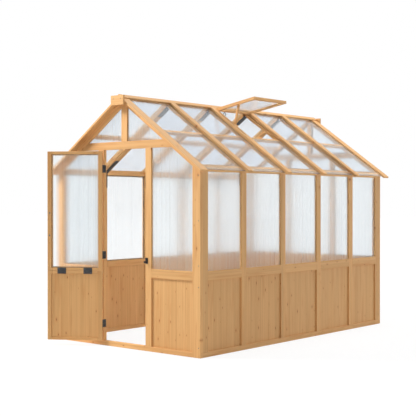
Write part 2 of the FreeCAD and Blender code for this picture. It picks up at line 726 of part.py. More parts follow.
def vent_prop():
    """Square stick, round at the pivot and hollowed at the foot where it stands on its peg."""
    pivot, foot = prop_places()
    down = (foot - pivot).normalize()
    across_stick = V(-down.z, 0, down.x) * (PROP_W / 2)
    y0 = ALONG * PROP_Y0
    y1 = ALONG * PROP_T
    outline = [pivot + across_stick + y0, foot + across_stick + y0]
    outline += [foot - across_stick + y0, pivot - across_stick + y0]
    head = Part.makeCylinder(PROP_W / 2, PROP_T, pivot + y0, ALONG)
    stick = joined(prism(outline, y1), head)
    bore = Part.makeCylinder(BOLT_R + PIN_FIT, PROP_T, pivot + y0, ALONG)
    hollow = Part.makeCylinder(PEG_R + PEG_FIT, PROP_T, foot + y0, ALONG)
    prop = trimmed(stick, bore, hollow)
    bolt_y = PROP_Y0 - PROP_SIDE_GAP - BOLT_DEPTH
    bolt_l = BOLT_DEPTH + PROP_SIDE_GAP + PROP_T + PROP_SIDE_GAP
    bolt = Part.makeCylinder(BOLT_R, bolt_l, pivot + ALONG * bolt_y, ALONG)
    bolt_head = Part.makeCylinder(BOLT_HEAD_R, BOLT_HEAD_T, pivot + ALONG * (bolt_y + bolt_l), ALONG)
    rail_face = FRONT_Y + BAY * VENT_BAY + RAIL_W
    peg_l = PROP_Y0 + PROP_T + PEG_PROUD - rail_face
    peg = Part.makeCylinder(PEG_R, peg_l, foot + ALONG * rail_face, ALONG)
    return prop, joined(bolt, bolt_head), peg


# Every piece, node by node

def main():
    walls = {"left": side_wall(left, -1), "right": side_wall(right, 1)}
    gables = {"front": gable_wall(front, True), "back": gable_wall(back, False)}
    for name, wall in walls.items():
        save(name + "_wall_stiles", wall["stiles"])
        save(name + "_wall_boards", wall["boards"])
        save(name + "_wall_glazing", wall["sheets"])
    save("side_sills", walls["left"]["sill"] + walls["right"]["sill"])
    save("side_mid_rails", walls["left"]["rails"] + walls["right"]["rails"])
    save("eave_beams", walls["left"]["beam"] + walls["right"]["beam"])

    save("corner_stiles", gables["front"]["corners"] + gables["back"]["corners"])
    save("door_jambs", gables["front"]["jambs"])
    save("back_studs", gables["back"]["jambs"])
    save("king_posts", gables["front"]["king"] + gables["back"]["king"])
    save("gable_rafters", gables["front"]["rafters"] + gables["back"]["rafters"])
    for name, gable in gables.items():
        save(name + "_sill", gable["sill"])
        save(name + "_header", gable["header"])
        save(name + "_mid_rails", gable["mids"])
        save(name + "_boards", gable["boards"])
        save(name + "_wall_glazing", gable["panes"])
        save(name + "_gable_glazing", gable["gable_panes"])

    all_barges = []
    for name, side in (("left", -1), ("right", 1)):
        rails, battens, barges, purlins, covers = roof_slope(side, side == 1)
        save(name + "_roof_rails", rails)
        save(name + "_roof_battens", battens)
        save(name + "_purlins", purlins)
        save(name + "_roof_glazing", covers)
        all_barges += barges
    save("barge_boards", all_barges)
    beam, caps, blocks = ridge()
    save("ridge_beam", [beam])
    save("ridge_cap", caps)
    save("ridge_blocks", blocks)
    save("eave_brackets", eave_brackets())
    save("ridge_brackets", ridge_brackets())
    save("hanging_eye", [hanging_eye()])

    leaf = door()
    save("door_stiles", leaf["stiles"])
    save("door_rails", leaf["rails"])
    save("door_glazing", leaf["glazing"])
    save("door_boards", leaf["boards"])
    save("door_joining_plates", leaf["plates"])
    save("door_handle", pull_handle())
    jamb_leaves, door_leaves, pins = door_hinges()
    save("jamb_hinge_leaves", jamb_leaves)
    save("door_hinge_leaves", door_leaves)
    save("door_hinge_pins", pins)
    plate, lever = latch()
    save("latch_plate", [plate])
    save("latch_lever", [lever])

    vent_rails, vent_sheet = vent()
    save("vent_rails", vent_rails)
    save("vent_glazing", vent_sheet)
    cap_leaves, vent_leaves, vent_pins = vent_hinges()
    save("ridge_hinge_leaves", cap_leaves)
    save("vent_hinge_leaves", vent_leaves)
    save("vent_hinge_pins", vent_pins)
    prop, bolt, peg = vent_prop()
    save("vent_prop", [prop])
    save("prop_bolt", [bolt])
    save("prop_peg", [peg])


main()
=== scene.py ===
import bmesh
import bpy
import json
import math
import random
from mathutils import Matrix, Vector


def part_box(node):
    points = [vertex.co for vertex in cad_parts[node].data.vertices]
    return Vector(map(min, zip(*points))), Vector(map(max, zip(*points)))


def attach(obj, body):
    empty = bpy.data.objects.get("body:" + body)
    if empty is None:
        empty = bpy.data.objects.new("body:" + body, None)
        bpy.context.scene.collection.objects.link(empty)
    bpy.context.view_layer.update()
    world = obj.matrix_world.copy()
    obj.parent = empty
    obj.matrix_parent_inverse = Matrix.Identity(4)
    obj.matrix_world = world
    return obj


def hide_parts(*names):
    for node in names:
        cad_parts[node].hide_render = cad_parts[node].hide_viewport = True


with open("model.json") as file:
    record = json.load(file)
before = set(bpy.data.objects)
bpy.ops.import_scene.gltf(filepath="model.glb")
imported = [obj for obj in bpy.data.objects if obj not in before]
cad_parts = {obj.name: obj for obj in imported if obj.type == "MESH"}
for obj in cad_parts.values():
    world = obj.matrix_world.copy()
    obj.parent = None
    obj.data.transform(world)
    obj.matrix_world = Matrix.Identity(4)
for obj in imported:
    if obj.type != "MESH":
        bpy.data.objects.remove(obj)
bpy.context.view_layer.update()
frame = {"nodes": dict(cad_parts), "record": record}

UP = Vector((0, 0, 1))
OUT_FRONT = Vector((0, -1, 0))
OUT_BACK = Vector((0, 1, 0))
RIGHT = Vector((1, 0, 0))
MICRON = 1e-6

# Camera, solved from the straight edges of the house
CAMERA_SPOT = (6.1644, -6.1811, 1.3442)
CAMERA_TURN = 39.957
CAMERA_DIP = 0.408
CAMERA_LENS = 82.12
CAMERA_SENSOR = 36.0

# Reading the solids: angles between faces, leans of a face's normal, and digits for steady comparing
FLAT_ANGLE = math.radians(0.5)
SHARP_ANGLE = math.radians(30)
CURVED_ANGLE = math.radians(32)
IN_PLANE_LEAN = 0.2
BEVEL_LEAN = 0.5
FACING_LEAN = 0.5
LENGTH_DIGITS = 6
AREA_DIGITS = 9

# Timber: eased edges, the joints between boards, and each board's own tone and place in the log
FRAME_ARRIS = 0.0018
BOARD_ARRIS = 0.0003
ARRIS_STEPS = 2
GROOVE_SHARE = 0.4
FRAME_TONES = (0.1, 0.9)
BOARD_TONES = (0.4, 0.65)
PITH_SPANS = ((0, 40), (-0.06, 0.06), (0.03, 0.1))
GRAIN_SEED = 41

# Steel: eased edges on pieces with few faces, because round ones need none
STEEL_ARRIS = 0.0004
FEW_FACES = 40

# Twin-wall sheets, and the shift of the pattern from one sheet to the next
FLUTE_PITCH = 0.011
WEB_T = 0.0005
SKIN_T = 0.0009
SHEET_T = 0.006
NEXT_SHEET = 3.1

# Studio light: a key from the front left, one lamp over the roof and one from behind on the right
AMBIENT = 0.35
KEY_SPOT = (-3.7, -2.75, 5.0)
KEY_AIM = (0.1, 0.2, 1.3)
KEY_SIZE = 1.6
KEY_POWER = 420.0
KEY_TINT = (1.0, 0.965, 0.90)
ROOF_SPOT = (1.2, 3.6, 8.0)
ROOF_AIM = (0.4, 1.6, 2.0)
ROOF_SIZE = 3.0
ROOF_POWER = 330.0
SIDE_SPOT = (4.5, 8.0, 2.5)
SIDE_AIM = (0.9, 2.2, 0.8)
SIDE_SIZE = 3.0
SIDE_POWER = 92.0
FILL_TINT = (1.0, 1.0, 1.0)

# Floor, which turns plain white between the near and the far distance from its middle
FLOOR_SIDE = 60.0
FLOOR_DROP = 0.0005
FLOOR_MIDDLE = (0.0, 1.5, 0.0)
FLOOR_NEAR = 2.4
FLOOR_FAR = 5.5
FLOOR_WHITE_SHARE = 0.79
FLOOR_WHITE_THROUGH = 0.94
FLOOR_WHITE = 1.07

# Screws and bolt heads. Slots are shares of the head's radius, SMALL_SCREW and BOLT_HEAD of a screw's size.
SCREW_R = 0.0042
SCREW_PROUD = 0.0008
SCREW_SIDES = 18
SCREW_SLOT_LONG = 1.3
SCREW_SLOT_WIDE = 0.26
SMALL_SCREW = 0.75
BOLT_HEAD = 1.6
CORNER_SCREW_INSET = 0.019
CORNER_SCREW_ZS = (0.087, 0.606, 0.790, 1.177, 1.567)
BLOCK_SCREW_INSET = 0.033
BLOCK_SCREW_DROP = 0.031

# Where screws sit on a face, as shares of its length and width, and the least area of such a face
ROW_OF_THREE = ((-0.34, 0.0), (0.0, 0.0), (0.34, 0.0))
FOUR_CORNERS = ((-0.36, -0.3), (-0.36, 0.3), (0.36, -0.3), (0.36, 0.3))
STRAP_LEAST = 0.0025
PLATE_LEAST = 0.0008

# The height inside the house that the straps' screwed faces look towards
STRAP_AIM_Z = 1.6

behaviour = frame["record"]["behaviour"]
joints = {joint["name"]: joint for joint in behaviour["joints"]}
node_slot = {part["node"]: part["material_slot"] for part in frame["record"]["subparts"]}
node_body = {node: body for body, nodes in behaviour["bodies"].items() for node in nodes}


def photo_camera():
    """The camera at the photograph's viewing angle."""
    data = bpy.data.cameras.new("photo_camera")
    data.sensor_width = CAMERA_SENSOR
    data.lens = CAMERA_LENS
    camera = bpy.data.objects.new("photo_camera", data)
    camera.location = CAMERA_SPOT
    camera.rotation_euler = (math.radians(90 - CAMERA_DIP), 0, math.radians(CAMERA_TURN))
    bpy.context.scene.collection.objects.link(camera)
    bpy.context.scene.camera = camera


class Nodes:
    """A node tree with short ways to add nodes and join them."""

    def __init__(self, tree):
        self.tree = tree
        self.tree.nodes.clear()

    def node(self, kind, **settings):
        made = self.tree.nodes.new(kind)
        for name, value in settings.items():
            setattr(made, name, value)
        return made

    def put(self, socket, value):
        if isinstance(value, bpy.types.NodeSocket):
            self.tree.links.new(value, socket)
        else:
            socket.default_value = value

    def math(self, operation, first, second=0.0, third=0.0):
        made = self.node("ShaderNodeMath", operation=operation)
        for socket, value in zip(made.inputs, (first, second, third)):
            self.put(socket, value)
        return made.outputs[0]

    def vector(self, *parts):
        made = self.node("ShaderNodeCombineXYZ")
        for socket, part in zip(made.inputs, parts):
            self.put(socket, part)
        return made.outputs[0]

    def shader_mix(self, share, first, second):
        made = self.node("ShaderNodeMixShader")
        for socket, value in zip(made.inputs, (share, first, second)):
            self.put(socket, value)
        return made.outputs[0]


class Finish(Nodes):
    """A node material."""

    def __init__(self, name):
        self.material = bpy.data.materials.new(name)
        self.material.use_nodes = True
        super().__init__(self.material.node_tree)
        self.surface = self.node("ShaderNodeOutputMaterial").inputs["Surface"]

    def shader(self, **sockets):
        made = self.node("ShaderNodeBsdfPrincipled")
        for name, value in sockets.items():
            self.put(made.inputs[name.replace("_", " ")], value)
        self.put(self.surface, made.outputs[0])

    def attribute(self, name, output="Vector"):
        return self.node("ShaderNodeAttribute", attribute_name=name).outputs[output]

    def object_place(self):
        return self.node("ShaderNodeTexCoord").outputs["Object"]

    def stretched(self, place, scale):
        made = self.node("ShaderNodeMapping")
        self.put(made.inputs["Vector"], place)
        self.put(made.inputs["Scale"], scale)
        return made.outputs["Vector"]

    def noise(self, place, scale=1.0, detail=2.0, roughness=0.5):
        made = self.node("ShaderNodeTexNoise")
        self.put(made.inputs["Vector"], place)
        self.put(made.inputs["Scale"], scale)
        self.put(made.inputs["Detail"], detail)
        self.put(made.inputs["Roughness"], roughness)
        return made.outputs["Fac"]

    def between(self, value, low, high, to_low=0.0, to_high=1.0, smooth=False):
        made = self.node("ShaderNodeMapRange")
        made.interpolation_type = "SMOOTHSTEP" if smooth else "LINEAR"
        self.put(made.inputs["Value"], value)
        self.put(made.inputs["From Min"], low)
        self.put(made.inputs["From Max"], high)
        self.put(made.inputs["To Min"], to_low)
        self.put(made.inputs["To Max"], to_high)
        return made.outputs["Result"]

    def mixed(self, share, first, second, blend="MIX"):
        made = self.node("ShaderNodeMix", data_type="RGBA", blend_type=blend)
        self.put(made.inputs["Factor"], share)
        self.put(made.inputs["A"], first)
        self.put(made.inputs["B"], second)
        return made.outputs["Result"]

    def bump(self, height, strength, distance):
        made = self.node("ShaderNodeBump")
        self.put(made.inputs["Height"], height)
        self.put(made.inputs["Strength"], strength)
        self.put(made.inputs["Distance"], distance)
        return made.outputs["Normal"]


def colour(red, green, blue):
    return (red, green, blue, 1.0)


# The values that most of a noise falls between
NOISE_SPAN = (0.3, 0.7)

# Softwood. A stretch scales a pattern along, across and through the grain.
EARLY_WOOD = colour(0.800, 0.462, 0.192)
LATE_WOOD = colour(0.620, 0.320, 0.115)
FLAME_WOOD = colour(0.640, 0.285, 0.092)
KNOT_RIM = colour(0.540, 0.225, 0.070)
KNOT_HEART = colour(0.300, 0.100, 0.030)
FIBRE_STRETCH = (3.0, 330.0, 330.0)
FIBRE_SPAN = (0.25, 0.75)
FIBRE_DARK = (-0.1, 0.1)
STREAK_STRETCH = (1.1, 70.0, 70.0)
STREAK_DETAIL = 3.0
STREAK_ROUGHNESS = 0.6
STREAK_DARK = (-0.12, 0.36)
DRIFT_STRETCH = (0.8, 7.0, 7.0)
DRIFT_DETAIL = 1.0
DRIFT_DARK = (-0.08, 0.2)
FLAME_STRETCH = (2.4, 24.0, 24.0)
FLAME_SPAN = (0.54, 0.72)
FLAME_MOST = 0.5
RING_STRETCH = (0.012, 1.0, 1.0)
RING_WAVE = {"Scale": 30.0, "Distortion": 1.0, "Detail": 2.0, "Detail Scale": 0.6}
RING_NARROWING = 2.2
RING_DARK = 0.24
RING_RELIEF = 0.5
TONE_LIGHT = (0.9, 1.07)
WOOD_ROUGHNESS = (0.5, 0.68)
WOOD_SPECULAR = 0.35
WOOD_BUMP = 0.22
WOOD_RELIEF = 0.0006

# Knots: the share of places without one, their sizes, and each layer's fade in knot sizes, share and colour
KNOT_STRETCH = (4.5, 11.0, 1.0)
KNOT_LEFT_OUT = 0.34
KNOT_SIZES = (0.016, 0.06)
KNOT_LAYERS = (
    ((1.0, 3.0), 0.5, FLAME_WOOD),
    ((0.75, 1.45), 0.75, KNOT_RIM),
    ((0.25, 0.85), 0.85, KNOT_HEART),
)


def knotted(wood, grain, body):
    """Lays knots over a colour, each with a warm halo, a rim and a dark heart."""
    spots = wood.node("ShaderNodeTexVoronoi", voronoi_dimensions="2D")
    wood.put(spots.inputs["Vector"], wood.stretched(grain, KNOT_STRETCH))
    wood.put(spots.inputs["Scale"], 1.0)
    chance = wood.node("ShaderNodeSeparateColor")
    wood.put(chance.inputs["Color"], spots.outputs["Color"])
    kept = wood.math("GREATER_THAN", chance.outputs["Red"], KNOT_LEFT_OUT)
    size = wood.between(chance.outputs["Green"], 0.0, 1.0, *KNOT_SIZES)
    reach = wood.math("DIVIDE", spots.outputs["Distance"], size)
    for fade, most, tint in KNOT_LAYERS:
        share = wood.math("MULTIPLY", kept, wood.between(reach, *fade, most, 0.0, True))
        body = wood.mixed(share, body, tint)
    return body


def honey_softwood():
    """Planed, oiled softwood. The grain attribute runs along, across and through each board."""
    wood = Finish("honey_softwood")
    grain = wood.attribute("grain")
    tone = wood.attribute("tone", "Fac")
    fibres = wood.noise(wood.stretched(grain, FIBRE_STRETCH))
    streaks = wood.noise(
        wood.stretched(grain, STREAK_STRETCH), detail=STREAK_DETAIL, roughness=STREAK_ROUGHNESS
    )
    drift = wood.noise(wood.stretched(grain, DRIFT_STRETCH), detail=DRIFT_DETAIL)
    flame = wood.noise(wood.stretched(grain, FLAME_STRETCH))
    rings = wood.node("ShaderNodeTexWave", wave_type="RINGS", rings_direction="X")
    wood.put(rings.inputs["Vector"], wood.stretched(grain, RING_STRETCH))
    for name, value in RING_WAVE.items():
        wood.put(rings.inputs[name], value)
    late = wood.math("POWER", rings.outputs["Fac"], RING_NARROWING)
    dark = wood.between(streaks, *NOISE_SPAN, *STREAK_DARK)
    dark = wood.math("MULTIPLY_ADD", late, RING_DARK, dark)
    dark = wood.math("ADD", dark, wood.between(drift, *NOISE_SPAN, *DRIFT_DARK))
    dark = wood.math("ADD", dark, wood.between(fibres, *FIBRE_SPAN, *FIBRE_DARK))
    body = wood.mixed(wood.between(dark, 0.0, 1.0), EARLY_WOOD, LATE_WOOD)
    body = wood.mixed(1.0, body, wood.between(tone, 0.0, 1.0, *TONE_LIGHT), "MULTIPLY")
    body = wood.mixed(wood.between(flame, *FLAME_SPAN, 0.0, FLAME_MOST, True), body, FLAME_WOOD)
    relief = wood.math("MULTIPLY_ADD", late, RING_RELIEF, fibres)
    wood.shader(
        Base_Color=knotted(wood, grain, body),
        Roughness=wood.between(streaks, *NOISE_SPAN, *WOOD_ROUGHNESS),
        Specular_IOR_Level=WOOD_SPECULAR,
        Normal=wood.bump(relief, WOOD_BUMP, WOOD_RELIEF),
    )
    return wood.material


# Sheets: the walls' milky ones, the roof's clearer ones with a grey tint that is painted shade, and what
# both have in common
WALL_SHEET = colour(0.960, 0.986, 1.000)
WALL_CLEARNESS = 0.91
WALL_SWELL = 0.5
WALL_MILK = 0.30
# Painted shade: the roof's sheets are tinted grey-blue so that they look shaded and darker than the walls'
# near-white sheets
ROOF_PAINTED_SHADE_TINT = colour(0.860, 0.900, 0.948)
ROOF_CLEARNESS = 0.93
ROOF_SWELL = 0.07
ROOF_MILK = 0.10
SHEET_IOR = 1.17
SHEET_POLISH = 0.03
SHEET_STRETCH = (44.0, 0.05, 0.0)
SHEET_STREAK = 0.86
SHEET_STREAK_SPAN = (0.5, 0.75)
SHEET_STREAK_ROUGHNESS = 0.7
CLOUD_FROM_STREAKS = 1.2
CLOUD_FROM_FLUTES = 0.5
CLOUD_SPAN = (0.5, 0.95)
FLUTE_RELIEF = 0.0006


def twin_wall_sheet(name, tint, clearness, swell, milk):
    """Translucent fluted sheet. The flute attribute runs across, along and through the sheet."""
    sheet = Finish(name)
    flute = sheet.attribute("flute")
    parts = sheet.node("ShaderNodeSeparateXYZ")
    sheet.put(parts.inputs[0], flute)
    turns = sheet.math("MULTIPLY", parts.outputs["X"], 2 * math.pi / FLUTE_PITCH)
    wave = sheet.math("SINE", turns)
    streaks = sheet.noise(sheet.stretched(flute, SHEET_STRETCH), roughness=SHEET_STREAK_ROUGHNESS)
    line = sheet.between(streaks, *SHEET_STREAK_SPAN, 1.0, SHEET_STREAK, True)
    clouds = sheet.math("MULTIPLY", wave, CLOUD_FROM_FLUTES)
    clouds = sheet.math("MULTIPLY_ADD", streaks, CLOUD_FROM_STREAKS, clouds)
    sheet.shader(
        Base_Color=sheet.mixed(1.0, tint, line, "MULTIPLY"),
        Roughness=sheet.between(clouds, *CLOUD_SPAN, SHEET_POLISH, milk, True),
        IOR=SHEET_IOR,
        Transmission_Weight=clearness,
        Normal=sheet.bump(wave, swell, FLUTE_RELIEF),
    )
    return sheet.material


WEB_CLEAR = colour(0.990, 0.993, 0.996)
WEB_MILKY = colour(0.960, 0.970, 0.980)
WEB_HAZE_SCALE = 9.0
WEB_HAZE_SPAN = (0.35, 0.65)
WEB_ROUGHNESS = (0.08, 0.14)
WEB_IOR = 1.0
WEB_CLEARNESS = 0.98


def flute_web():
    """The thin walls between a sheet's two skins."""
    web = Finish("flute_web")
    haze = web.noise(web.object_place(), WEB_HAZE_SCALE)
    web.shader(
        Base_Color=web.mixed(web.between(haze, *WEB_HAZE_SPAN), WEB_CLEAR, WEB_MILKY),
        Roughness=web.between(haze, *NOISE_SPAN, *WEB_ROUGHNESS),
        IOR=WEB_IOR,
        Transmission_Weight=WEB_CLEARNESS,
    )
    return web.material


COAT_DEEP = colour(0.022, 0.024, 0.027)
COAT_WORN = colour(0.052, 0.055, 0.060)
COAT_ROUGHNESS = (0.4, 0.56)
SCUFF_SCALE = 28.0
SCUFF_DETAIL = 4.0
SCUFF_ROUGHNESS = 0.65
SCUFF_SPAN = (0.42, 0.72)
PEEL_SCALE = 900.0
PEEL_DETAIL = 1.0
PEEL_BUMP = 0.12
PEEL_RELIEF = 0.0003


def satin_black_coat():
    """Powder coat with a fine peel and faint scuffs."""
    coat = Finish("satin_black_coat")
    place = coat.object_place()
    scuffs = coat.noise(place, SCUFF_SCALE, SCUFF_DETAIL, SCUFF_ROUGHNESS)
    peel = coat.noise(place, PEEL_SCALE, PEEL_DETAIL)
    coat.shader(
        Base_Color=coat.mixed(coat.between(scuffs, *SCUFF_SPAN), COAT_DEEP, COAT_WORN),
        Roughness=coat.between(scuffs, *NOISE_SPAN, *COAT_ROUGHNESS),
        Normal=coat.bump(peel, PEEL_BUMP, PEEL_RELIEF),
    )
    return coat.material


ZINC_BRIGHT = colour(0.56, 0.57, 0.58)
ZINC_DULL = colour(0.36, 0.37, 0.38)
SCREW_BRIGHT = colour(0.24, 0.25, 0.27)
SCREW_DULL = colour(0.12, 0.125, 0.135)
BLOOM_SCALE = 160.0
BLOOM_DETAIL = 3.0
BLOOM_SPAN = (0.35, 0.65)
BLOOM_BUMP = 0.1
BLOOM_RELIEF = 0.0002
PLATE_ROUGHNESS = (0.3, 0.5)


def plated_steel(name, bright, dull):
    """Zinc-plated steel, mottled between a bright and a dull tone."""
    plate = Finish(name)
    bloom = plate.noise(plate.object_place(), BLOOM_SCALE, BLOOM_DETAIL)
    plate.shader(
        Base_Color=plate.mixed(plate.between(bloom, *BLOOM_SPAN), bright, dull),
        Metallic=1.0,
        Roughness=plate.between(bloom, *NOISE_SPAN, *PLATE_ROUGHNESS),
        Normal=plate.bump(bloom, BLOOM_BUMP, BLOOM_RELIEF),
    )
    return plate.material


def corner_key(point):
    return tuple(round(value / MICRON) for value in point)


def solids_of(node):
    """The closed solids of a node, each as a list of faces made of corner keys."""
    mesh = frame["nodes"][node].data
    solids = []
    faces = []
    open_edges = set()
    for face in mesh.polygons:
        corners = [corner_key(mesh.vertices[i].co) for i in face.vertices]
        if len(set(corners)) < len(corners):
            continue
        faces.append(corners)
        for first, second in zip(corners, corners[1:] + corners[:1]):
            open_edges ^= {frozenset((first, second))}
        if not open_edges:
            solids.append(faces)
            faces = []
    if faces:
        solids.append(faces)
    return solids


def merged(solid):
    """One solid as a clean mesh of whole faces."""
    work = bmesh.new()
    corners = {}
    for face in solid:
        for key in face:
            if key not in corners:
                corners[key] = work.verts.new(Vector(key) * MICRON)
        work.faces.new([corners[key] for key in face])
    work.normal_update()
    bmesh.ops.dissolve_limit(work, angle_limit=FLAT_ANGLE, verts=work.verts, edges=work.edges)
    work.normal_update()
    return work


def broad_face(faces):
    return max(faces, key=lambda face: round(face.calc_area(), AREA_DIGITS))


def long_edge_way(edges):
    """The direction of the longest edge."""
    longest = max(edges, key=lambda edge: round(edge.calc_length(), LENGTH_DIGITS))
    return (longest.verts[1].co - longest.verts[0].co).normalized()


def round_over(work, arris):
    """Eases a solid's sharp edges."""
    sharp = [
        edge
        for edge in work.edges
        if edge.is_manifold and edge.calc_face_angle() > SHARP_ANGLE
    ]
    bmesh.ops.bevel(
        work,
        geom=sharp,
        offset=arris,
        segments=ARRIS_STEPS,
        profile=0.5,
        affect="EDGES",
        clamp_overlap=True,
    )


def tighten_grooves(work, axes):
    """Narrows the bevels on a board's front edges, so that the joints between boards look tight."""
    for face in work.faces:
        slants = [(axis, face.normal.dot(axis)) for axis in axes[1:]]
        if min(abs(slant) for _, slant in slants) < BEVEL_LEAN:
            continue
        for axis, slant in slants:
            edge = max((point.co.dot(axis) for point in face.verts), key=lambda place: place * slant)
            for point in face.verts:
                point.co += axis * (edge - point.co.dot(axis)) * (1 - GROOVE_SHARE)
    work.normal_update()


def middle(work):
    """The middle of a solid's box."""
    low = Vector(min(point.co[i] for point in work.verts) for i in range(3))
    high = Vector(max(point.co[i] for point in work.verts) for i in range(3))
    return (low + high) / 2


def mark_places(work, name, axes, centre, shift):
    """Writes where each point lies along the piece's own three directions."""
    layer = work.verts.layers.float_vector.new(name)
    for point in work.verts:
        offset = point.co - centre
        point[layer] = Vector(offset.dot(axis) for axis in axes) + shift


def grain_axes(work):
    """A board's directions along, across and through its grain."""
    along = long_edge_way(work.edges)
    sides = [face for face in work.faces if abs(face.normal.dot(along)) < IN_PLANE_LEAN]
    through = broad_face(sides).normal.copy()
    return along, through.cross(along), through


def sheet_axes(work):
    """A sheet's directions across, along and through its flutes, which run up its slope."""
    through = broad_face(work.faces).normal.copy()
    along = (UP - through * UP.dot(through)).normalized()
    return along.cross(through), along, through


def add_piece(mesh, body, slot, *nodes):
    """Makes a piece of a mesh, which rides on a body and may stand for CAD nodes."""
    piece = bpy.data.objects.new(mesh.name, mesh)
    bpy.context.scene.collection.objects.link(piece)
    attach(piece, body)
    if nodes:
        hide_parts(*nodes)


def join_works(name, works):
    """Puts several worked solids into one mesh."""
    whole = bmesh.new()
    holder = bpy.data.meshes.new(name)
    for work in works:
        work.to_mesh(holder)
        whole.from_mesh(holder)
        work.free()
    whole.to_mesh(holder)
    whole.free()
    return holder


def plane_boards(node, chance):
    """Eases the edges of a node's boards and lays a grain of its own into each."""
    works = []
    # Wall and door boards are thin and stand side by side, unlike the barge boards
    boarded = "boards" in node and "barge" not in node
    arris = BOARD_ARRIS if boarded else FRAME_ARRIS
    tones = BOARD_TONES if boarded else FRAME_TONES
    for solid in solids_of(node):
        work = merged(solid)
        axes = grain_axes(work)
        centre = middle(work)
        if boarded:
            tighten_grooves(work, axes)
        round_over(work, arris)
        pith = Vector([chance.uniform(*span) for span in PITH_SPANS])
        mark_places(work, "grain", axes, centre, pith)
        tone = work.verts.layers.float.new("tone")
        board_tone = chance.uniform(*tones)
        for point in work.verts:
            point[tone] = board_tone
        works.append(work)
    return join_works("planed_" + node, works)


def web_run(outline, across):
    """Where a web starts and ends on a sheet's outline, or twice zero where it misses the sheet."""
    hits = []
    for first, second in zip(outline, outline[1:] + outline[:1]):
        if (first[0] - across) * (second[0] - across) < 0:
            part = (across - first[0]) / (second[0] - first[0])
            hits.append(first[1] + part * (second[1] - first[1]))
    return (min(hits), max(hits)) if len(hits) > 1 else (0.0, 0.0)


def flute_sheets(node, webs):
    """Copies a node's sheets, marks their flutes and lists the webs between their skins."""
    works = []
    for solid in solids_of(node):
        work = merged(solid)
        axes = sheet_axes(work)
        across, along, through = axes
        centre = middle(work)
        outline = [
            ((point.co - centre).dot(across), (point.co - centre).dot(along))
            for point in broad_face(work.faces).verts
        ]
        steps = int(max(place for place, _ in outline) / FLUTE_PITCH)
        for step in range(-steps, steps + 1):
            start, end = web_run(outline, step * FLUTE_PITCH)
            length = end - start - 2 * SKIN_T
            if length > 2 * SKIN_T:
                place = centre + across * step * FLUTE_PITCH + along * (start + end) / 2
                webs.append((place, along, through, length))
        mark_places(work, "flute", axes, centre, Vector((len(works) * NEXT_SHEET, 0, 0)))
        works.append(work)
    return join_works("fluted_" + node, works)


def finish_steel(node):
    """Eases a node's plain steel pieces and smooths its round ones."""
    works = []
    for solid in solids_of(node):
        work = merged(solid)
        if len(work.faces) < FEW_FACES:
            round_over(work, STEEL_ARRIS)
        works.append(work)
    mesh = join_works("coated_" + node, works)
    mesh.shade_smooth()
    mesh.set_sharp_from_angle(angle=CURVED_ANGLE)
    return mesh


FLOOR_TINT = colour(0.84, 0.84, 0.84)
SKY_TINT = colour(0.97, 0.985, 1.0)
WHITE = colour(1.0, 1.0, 1.0)


def pale_floor():
    """A pale floor that keeps the house's shadow and is plain white further away."""
    floor = Finish("pale_floor")
    rays = floor.node("ShaderNodeLightPath")
    away = floor.node("ShaderNodeVectorMath", operation="DISTANCE")
    floor.put(away.inputs[0], floor.object_place())
    floor.put(away.inputs[1], FLOOR_MIDDLE)
    share = floor.between(away.outputs["Value"], FLOOR_NEAR, FLOOR_FAR, FLOOR_WHITE_SHARE, 1.0, True)
    seen = floor.math("MAXIMUM", rays.outputs["Is Camera Ray"], rays.outputs["Is Glossy Ray"])
    seen = floor.math("MULTIPLY", seen, share)
    through = floor.math("MULTIPLY", rays.outputs["Is Transmission Ray"], FLOOR_WHITE_THROUGH)
    plain = floor.node("ShaderNodeBsdfDiffuse")
    floor.put(plain.inputs["Color"], FLOOR_TINT)
    white = floor.node("ShaderNodeEmission")
    floor.put(white.inputs["Strength"], FLOOR_WHITE)
    whitened = floor.math("MAXIMUM", seen, through)
    floor.put(floor.surface, floor.shader_mix(whitened, plain.outputs[0], white.outputs[0]))
    mesh = bpy.data.meshes.new("pale_floor")
    corners = [(x * FLOOR_SIDE, y * FLOOR_SIDE, 0) for x, y in ((-1, -1), (1, -1), (1, 1), (-1, 1))]
    mesh.from_pydata(corners, [], [(0, 1, 2, 3)])
    mesh.materials.append(floor.material)
    stage = bpy.data.objects.new("pale_floor", mesh)
    stage.location.z = -FLOOR_DROP
    bpy.context.scene.collection.objects.link(stage)


def studio_world():
    """Soft light all round, which looks plain white where it is seen."""
    world = bpy.data.worlds.new("white_studio")
    bpy.context.scene.world = world
    world.use_nodes = True
    studio = Nodes(world.node_tree)
    rays = studio.node("ShaderNodeLightPath")
    seen = studio.math("MAXIMUM", rays.outputs["Is Camera Ray"], rays.outputs["Is Glossy Ray"])
    seen = studio.math("MAXIMUM", seen, rays.outputs["Is Transmission Ray"])
    soft = studio.node("ShaderNodeBackground")
    studio.put(soft.inputs["Color"], SKY_TINT)
    studio.put(soft.inputs["Strength"], AMBIENT)
    white = studio.node("ShaderNodeBackground")
    studio.put(white.inputs["Color"], WHITE)
    studio.put(white.inputs["Strength"], 1.0)
    surface = studio.node("ShaderNodeOutputWorld").inputs["Surface"]
    studio.put(surface, studio.shader_mix(seen, soft.outputs[0], white.outputs[0]))


def soft_lamp(name, place, aim, size, power, tint):
    """A square area lamp that looks at a point."""
    data = bpy.data.lights.new(name, "AREA")
    data.size = size
    data.energy = power
    data.color = tint
    lamp = bpy.data.objects.new(name, data)
    lamp.location = place
    lamp.rotation_mode = "QUATERNION"
    lamp.rotation_quaternion = (Vector(aim) - Vector(place)).to_track_quat("-Z", "Y")
    bpy.context.scene.collection.objects.link(lamp)


